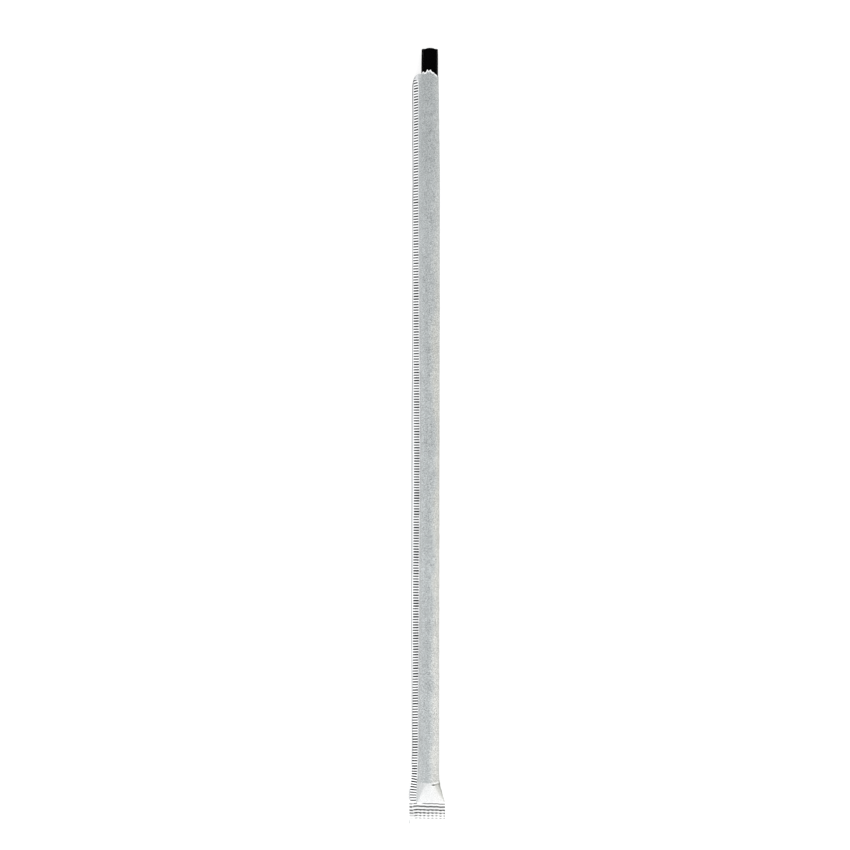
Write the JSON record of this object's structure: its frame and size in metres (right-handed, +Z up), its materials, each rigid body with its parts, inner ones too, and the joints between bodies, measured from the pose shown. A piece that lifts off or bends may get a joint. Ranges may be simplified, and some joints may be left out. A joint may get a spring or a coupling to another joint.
{
  "type": "wrapped drinking straw",
  "caption": "Long straight black drinking straw in a white paper sleeve with a crimped side fin and a crimped flat end; the other end is torn open and shows the straw's tip.",
  "frame": {"origin": "middle of the whole object's footprint, on the plane it lies on", "axes": "+Y along the straw, towards its drinking end at the torn end of the sleeve; +Z up, away from the plane it lies on; +X towards the sleeve's folded side, away from the crimped fin"},
  "size_m": [0.0126, 0.2748, 0.0063],
  "materials": {
    "black_plastic": "smooth, glossy, as extruded",
    "white_paper": "thin uncoated tissue-weight wrapping paper, slightly see-through"
  },
  "bodies": {
    "sleeve": {"paper_sleeve": "white_paper"},
    "straw": {"straw": "black_plastic"}
  },
  "joints": [
    {"name": "straw_slide", "type": "slide", "parent": "sleeve", "child": "straw", "axis": [0, 1, 0], "range_m": [0, 0.255]}
  ]
}
